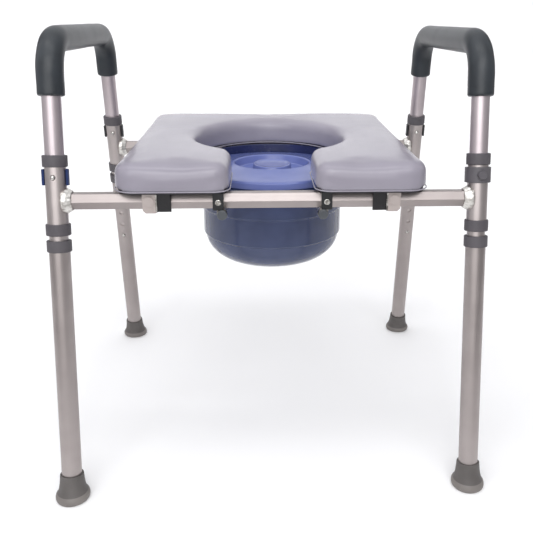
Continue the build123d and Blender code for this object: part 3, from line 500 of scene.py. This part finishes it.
# --- seat ------------------------------------------------------------------------------------
def cushion():
    """Foam seat: inflated as cloth over its moulded shape, with its underside held flat on the board."""
    piece = evenly_faced(frame["nodes"]["seat_pad"], "even_cushion", 3.0 * MM)
    even = piece.data
    flat = Matrix.Rotation(-SEAT_SLOPE, 4, "X")
    pad = [flat @ vert.co for vert in even.vertices]
    floor = min(point.z for point in pad)
    start = [vert.co.copy() for vert in even.vertices]

    bm = bmesh.new()
    bm.from_mesh(even)
    bm.normal_update()
    for vert, point in zip(bm.verts, pad):
        rise = min(1.0, max(0.0, (point.z - floor - 6 * MM) / (12 * MM)))
        vert.co -= vert.normal * 1.6 * MM * rise
    bm.to_mesh(even)
    bm.free()

    held = piece.vertex_groups.new(name="held_to_board")
    held.add([i for i, point in enumerate(pad) if point.z < floor + 7.5 * MM], 1.0, "REPLACE")
    cloth = piece.modifiers.new("foam_pressure", "CLOTH")
    settings = cloth.settings
    settings.quality = 5
    settings.mass = 0.3
    settings.tension_stiffness = settings.compression_stiffness = 25.0
    settings.shear_stiffness = 15.0
    settings.bending_stiffness = 4.0
    settings.use_pressure = True
    settings.uniform_pressure_force = 4.0
    settings.vertex_group_mass = held.name
    settings.effector_weights.gravity = 0.0
    cloth.collision_settings.use_collision = False
    scene = bpy.context.scene
    for step in range(1, 21):
        scene.frame_set(step)
    swollen = finished_mesh(piece)
    scene.frame_set(1)
    piece.modifiers.clear()
    piece.vertex_groups.clear()
    cap = 2.5 * MM
    for vert, origin in zip(swollen.vertices, start):
        move = (vert.co - origin) * 0.4
        vert.co = origin + move * min(1.0, cap / max(move.length, 1e-9))
    piece.data = swollen

    bm = bmesh.new()
    bm.from_mesh(piece.data)
    smooth(bm, 10)
    bm.normal_update()
    bpy.data.objects.remove(piece)
    low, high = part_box("seat_pad")
    middle, front = (low.x + high.x) / 2, low.y
    for vert in bm.verts:
        point = flat @ vert.co
        height = point.z - floor
        if height < 8 * MM:
            continue
        # the skin creases lightly where it is pulled round the inner front corners
        for side in (-1, 1):
            away = math.hypot(point.x - middle - side * (GAP_HALF + 14 * MM), point.y - (front + 12 * MM))
            near = max(0.0, 1 - away / (34 * MM)) * max(0.0, 1 - abs(height - 19 * MM) / (14 * MM))
            fold = math.sin((point.z + 0.35 * abs(point.x)) / (4.2 * MM))
            vert.co += vert.normal * near * fold * 0.55 * MM
        vert.co += vert.normal * noise.noise(vert.co * 14.0) * 0.5 * MM
    pad_piece = piece_from(bm, "seat_cushion", "pad", "seat", smooth_angle=180.0)
    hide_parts("seat_pad")


def cushion_bead():
    """A fine round bead along the cushion's lower edge, lower still round the lip of the opening."""
    low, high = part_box("seat_pad")
    middle = (low.x + high.x) / 2
    bm = bmesh.new()
    bm.from_mesh(frame["nodes"]["seat_pad"].data)
    bmesh.ops.remove_doubles(bm, verts=bm.verts, dist=1e-5)
    normal = Matrix.Rotation(SEAT_SLOPE, 3, "X") @ Vector((0, 0, 1))
    level = min(vert.co.dot(normal) for vert in bm.verts) + 9.0 * MM
    cut = bmesh.ops.bisect_plane(bm, geom=list(bm.verts) + list(bm.edges) + list(bm.faces),
                                 plane_co=normal * level, plane_no=normal)["geom_cut"]
    keep = {item for item in cut if isinstance(item, bmesh.types.BMVert)}
    bmesh.ops.delete(bm, geom=[vert for vert in bm.verts if vert not in keep], context="VERTS")
    bmesh.ops.delete(bm, geom=list(bm.faces), context="FACES_ONLY")
    bmesh.ops.remove_doubles(bm, verts=bm.verts, dist=0.3 * MM)
    for vert in bm.verts:
        inside = math.hypot((vert.co.x - middle) / OPENING_HALF_X, vert.co.y / OPENING_HALF_Y) < 1.01
        vert.co -= normal * (8.2 * MM if inside else 5.2 * MM)
    mesh = bpy.data.meshes.new("cushion_bead")
    bm.to_mesh(mesh)
    bm.free()
    line = bpy.data.objects.new("cushion_bead", mesh)
    bpy.context.scene.collection.objects.link(line)
    bpy.ops.object.select_all(action="DESELECT")
    line.select_set(True)
    bpy.context.view_layer.objects.active = line
    bpy.ops.object.convert(target="CURVE")
    line = bpy.context.view_layer.objects.active
    line.data.bevel_depth = 0.9 * MM
    line.data.bevel_resolution = 3
    bpy.ops.object.convert(target="MESH")
    line = bpy.context.view_layer.objects.active
    bm = bmesh.new()
    bm.from_mesh(line.data)
    bpy.data.objects.remove(line)
    piece_from(bm, "cushion_bead", "pad", "seat", smooth_angle=60.0)


# --- bucket ----------------------------------------------------------------------------------
def bucket_shell():
    """Blow-moulded bucket with two ridges, a rolled flange and a rear splash guard."""
    low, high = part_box("bucket")
    centre = Vector(((low.x + high.x) / 2, 0, 0))
    inner_r = 120.0 * MM
    flange_r = (high.x - low.x) / 2
    base = low.z
    flange = base + 141.0 * MM
    belly = base + 46.0 * MM
    ridge = flange - 49.0 * MM
    wall = 2.4 * MM
    step = 3.4 * MM
    lower_r, middle_r = inner_r - 2 * step, inner_r - step
    flat_r = 52.0 * MM
    outer = [(0.0, base + 1.2 * MM), (flat_r - 8 * MM, base + 1.2 * MM), (flat_r - 4 * MM, base)]
    for degrees in range(0, 91, 9):
        angle = math.radians(degrees)
        outer.append((flat_r + (lower_r - flat_r) * math.sin(angle),
                      belly - (belly - base) * math.cos(angle)))
    outer += [(middle_r, belly + step), (middle_r, ridge), (inner_r, ridge + step),
              (inner_r, flange - 0.5 * MM), (inner_r + 1.0 * MM, flange), (flange_r - 1.2 * MM, flange),
              (flange_r, flange + 1.0 * MM), (flange_r, flange + 2.4 * MM),
              (flange_r - 0.8 * MM, flange + 3.0 * MM),
              (inner_r - 1.2 * MM, flange + 3.0 * MM)]
    inside = [(inner_r - wall, flange + 1.6 * MM), (inner_r - wall, ridge + step), (middle_r - wall, ridge),
              (middle_r - wall, belly + step)]
    for degrees in range(90, -1, -9):
        angle = math.radians(degrees)
        inside.append((flat_r + (lower_r - flat_r - wall) * math.sin(angle),
                       belly - (belly - base - wall) * math.cos(angle)))
    inside.append((0.0, base + wall + 1.2 * MM))
    bm = bmesh.new()
    lathe(bm, outer + inside, centre, 128)
    shell = piece_from(bm, "bucket_shell", "bucket", "bucket", smooth_angle=50.0)
    soften(shell, 0.9 * MM, 3, 25.0)
    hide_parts("bucket")

    bm = bmesh.new()
    guard_wall = 2.4 * MM
    half = math.radians(100.0)
    top = high.z
    section = [(flange_r - guard_wall, flange + 2.0 * MM), (flange_r - guard_wall, top - 1.2 * MM),
               (flange_r - guard_wall + 1.2 * MM, top), (flange_r - 1.0 * MM, top),
               (flange_r, top - 1.0 * MM), (flange_r, flange + 2.0 * MM)]
    verts = [bm.verts.new((centre.x + radius, 0, height)) for radius, height in section]
    face = bm.faces.new(verts)
    bmesh.ops.rotate(bm, cent=centre, matrix=Matrix.Rotation(math.pi / 2 - half, 3, "Z"), verts=bm.verts)
    bmesh.ops.spin(bm, geom=[face] + list(face.edges) + verts, cent=centre, axis=(0, 0, 1),
                   angle=2 * half, steps=72)
    for vert in bm.verts:
        if vert.co.z > top - 2 * MM:            # the top edge follows the seat's slope
            vert.co.z -= (flange_r - vert.co.y) * math.tan(SEAT_SLOPE)
    # the guard takes the painted-shade, darker copy of the bucket's plastic
    guard = piece_from(bm, "bucket_guard", "bucket", "bucket", MATERIALS["guard"], smooth_angle=50.0)
    soften(guard, 0.5 * MM, 2, 25.0)


def lid():
    """Domed lid: a rolled rim, a round recess and an oval grip with a dished top."""
    low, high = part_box("bucket_lid")
    rim_r = (high.x - low.x) / 2
    base = low.z
    centre = Vector(((low.x + high.x) / 2, 0, 0))
    top = base + 19.5 * MM
    floor = top - 13.0 * MM
    ring_r = 62.0 * MM
    wall = 2.2 * MM
    outer = [(rim_r - wall, base), (rim_r - 0.6 * MM, base), (rim_r, base + 0.8 * MM),
             (rim_r, base + 9.5 * MM),
             (rim_r - 2.2 * MM, base + 12.2 * MM), (rim_r - 8.0 * MM, base + 13.4 * MM),
             (ring_r + 5.5 * MM, top - 1.0 * MM), (ring_r + 3.2 * MM, top), (ring_r + 1.0 * MM, top),
             (ring_r - 0.6 * MM, top - 1.2 * MM), (ring_r - 4.2 * MM, floor + 1.2 * MM),
             (ring_r - 6.2 * MM, floor), (0.0, floor)]
    inside = [(0.0, floor - wall), (ring_r - 5.0 * MM, floor - wall),
              (ring_r + 2.0 * MM, top - wall - 0.4 * MM), (rim_r - 8.0 * MM, base + 13.2 * MM - wall),
              (rim_r - wall, base + 9.1 * MM), (rim_r - wall, base)]
    bm = bmesh.new()
    lathe(bm, outer + inside, centre, 128)
    dome = piece_from(bm, "lid_dome", "lid", "bucket_lid", smooth_angle=60.0)
    soften(dome, 0.7 * MM, 3, 20.0)
    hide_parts("bucket_lid")

    bm = bmesh.new()
    centre.y = -16.0 * MM
    # half width, half length and height of each oval, from the recess floor over the rim into the dish
    ovals = [(34.5, 42.0, floor - 0.6 * MM), (33.0, 40.2, floor + 1.0 * MM), (32.0, 39.2, floor + 5.0 * MM),
             (30.9, 38.1, high.z - 1.2 * MM), (30.0, 37.2, high.z - 0.25 * MM), (28.8, 36.0, high.z),
             (27.6, 34.4, high.z - 0.3 * MM), (26.6, 33.0, high.z - 1.3 * MM),
             (25.0, 31.2, high.z - 2.0 * MM), (12.0, 15.0, high.z - 2.2 * MM)]
    previous = None
    for half_x, half_y, height in ovals:
        edges = ring(bm, 1.0, centre, (0, 0, 1), 80)
        verts = list({vert for edge in edges for vert in edge.verts})
        bmesh.ops.scale(bm, vec=(half_x * MM, half_y * MM, 1), verts=verts,
                        space=Matrix.Translation(-centre))
        bmesh.ops.translate(bm, vec=(0, 0, height), verts=verts)
        if previous:
            bmesh.ops.bridge_loops(bm, edges=previous + edges)
        previous = edges
    bmesh.ops.contextual_create(bm, geom=previous)
    piece_from(bm, "lid_grip", "lid", "bucket_lid", smooth_angle=70.0)


# --- stage -----------------------------------------------------------------------------------
def stage():
    """Pale paper floor that sweeps up behind, with painted shade that darkens it far out, and soft lamps overhead
    and in front.
    """
    bm = bmesh.new()
    profile = [(-4.0, 0.0), (2.6, 0.0)]
    for degrees in range(10, 91, 10):
        angle = math.radians(degrees)
        profile.append((2.6 + 0.9 * math.sin(angle), 0.9 - 0.9 * math.cos(angle)))
    profile.append((3.5, 4.0))
    verts = [bm.verts.new((-5.0, y, z)) for y, z in profile]
    edges = [bm.edges.new(pair) for pair in zip(verts, verts[1:])]
    made = bmesh.ops.extrude_edge_only(bm, edges=edges)["geom"]
    far_side = [item for item in made if isinstance(item, bmesh.types.BMVert)]
    bmesh.ops.translate(bm, vec=(10.0, 0, 0), verts=far_side)
    bmesh.ops.recalc_face_normals(bm, faces=bm.faces)
    mesh = bpy.data.meshes.new("floor")
    bm.to_mesh(mesh)
    bm.free()
    mesh.polygons.foreach_set("use_smooth", [True] * len(mesh.polygons))
    floor = bpy.data.objects.new("floor", mesh)
    bpy.context.scene.collection.objects.link(floor)
    material, tree, shader = new_material("studio_paper_painted_shade", Roughness=0.95, Specular_IOR_Level=0.1)
    place = add(tree, "TexCoord").outputs["Object"]
    # painted light and shade on the floor: near white within 2.5 m of a point 1.9 m behind the chair, falling to
    # painted shade by 3.4 m, so the metal reflects a darker room far out
    painted_light_pool = add(tree, "VectorMath", {"operation": "MULTIPLY_ADD"}, i0=place, i1=(1, 1, 0), i2=(0, -1.9, 0))
    away = add(tree, "VectorMath", {"operation": "LENGTH"}, i0=painted_light_pool.outputs[0])
    painted_shade_falloff = add(tree, "MapRange", Value=away.outputs["Value"], From_Min=2.5, From_Max=3.4)
    colour = add(tree, "Mix", {"data_type": "RGBA"}, i0=painted_shade_falloff, i6=linear("#FCFCFC"), i7=linear("#7E7A78"))
    tree.links.new(colour.outputs[2], shader.inputs["Base Color"])
    paint(floor, material)

    world = bpy.data.worlds.new("studio")
    bpy.context.scene.world = world
    world.use_nodes = True
    tree = world.node_tree
    backdrop = next(node for node in tree.nodes if node.type == "BACKGROUND")
    way = add(tree, "SeparateXYZ", Vector=add(tree, "TexCoord").outputs["Generated"])
    across = add(tree, "MapRange", Value=way.outputs["X"], From_Min=-0.9, From_Max=0.9,
                 To_Min=1.05, To_Max=0.62)
    height = add(tree, "MapRange", Value=way.outputs["Z"], From_Min=-0.1, From_Max=0.5,
                 To_Min=0.55, To_Max=0.92)
    room = add(tree, "Math", {"operation": "MULTIPLY"}, i0=across, i1=height)
    tree.links.new(room.outputs[0], backdrop.inputs["Strength"])
    backdrop.inputs["Color"].default_value = linear("#FBFBFF")

    seat = Vector((0, 0, 0.43))
    lamps = (("overhead", (-0.2, 0.2, 2.4), (2.4, 1.6), 4.0, seat),
             ("overhead_strip", (-0.1, -0.5, 1.9), (1.8, 0.14), 5.0, seat),
             ("front_high", (0.0, -2.0, 2.2), (2.8, 0.7), 18.0, seat),
             ("front_panel", (-0.45, -2.3, 1.05), (2.4, 1.5), 19.0, seat),
             ("glint_left", (-0.14, -1.3, 1.25), (0.06, 0.06), 0.7, seat),
             ("glint_right", (0.14, -1.3, 1.25), (0.06, 0.06), 0.7, seat),
             ("backdrop_wash", (0.0, 1.4, 2.4), (3.6, 0.8), 34.0, Vector((0, 3.3, 0.8))))
    for name, spot, size, power, target in lamps:
        light = bpy.data.lights.new(name, "AREA")
        light.shape = "RECTANGLE"
        light.size, light.size_y = size
        light.energy = power
        lamp = bpy.data.objects.new(name, light)
        lamp.location = spot
        lamp.rotation_mode = "QUATERNION"
        lamp.rotation_quaternion = (target - Vector(spot)).to_track_quat("-Z", "Y")
        bpy.context.scene.collection.objects.link(lamp)


def camera():
    """A camera a little above the seat in front, turned slightly to its right."""
    lens = bpy.data.cameras.new("camera")
    lens.sensor_width = 36.0
    lens.lens = 45.81
    lens.shift_x = -0.0597
    lens.shift_y = -0.0375
    eye = bpy.data.objects.new("camera", lens)
    right = Vector((0.99826, -0.05864, 0.00672))
    up = Vector((0.01237, 0.31911, 0.94764))
    back = right.cross(up).normalized()
    turn = Matrix((right, up, back)).transposed().to_4x4()
    eye.matrix_world = Matrix.Translation((-0.0171, -1.1268, 0.6743)) @ turn
    bpy.context.scene.collection.objects.link(eye)
    bpy.context.scene.camera = eye


paint_frame()
for side in SIDES:
    foam_grip(side)
for corner in CORNERS:
    rubber_foot(corner)
weld_ripples()
cushion()
cushion_bead()
bucket_shell()
lid()
stage()
camera()
bpy.context.scene.view_settings.view_transform = "Standard"
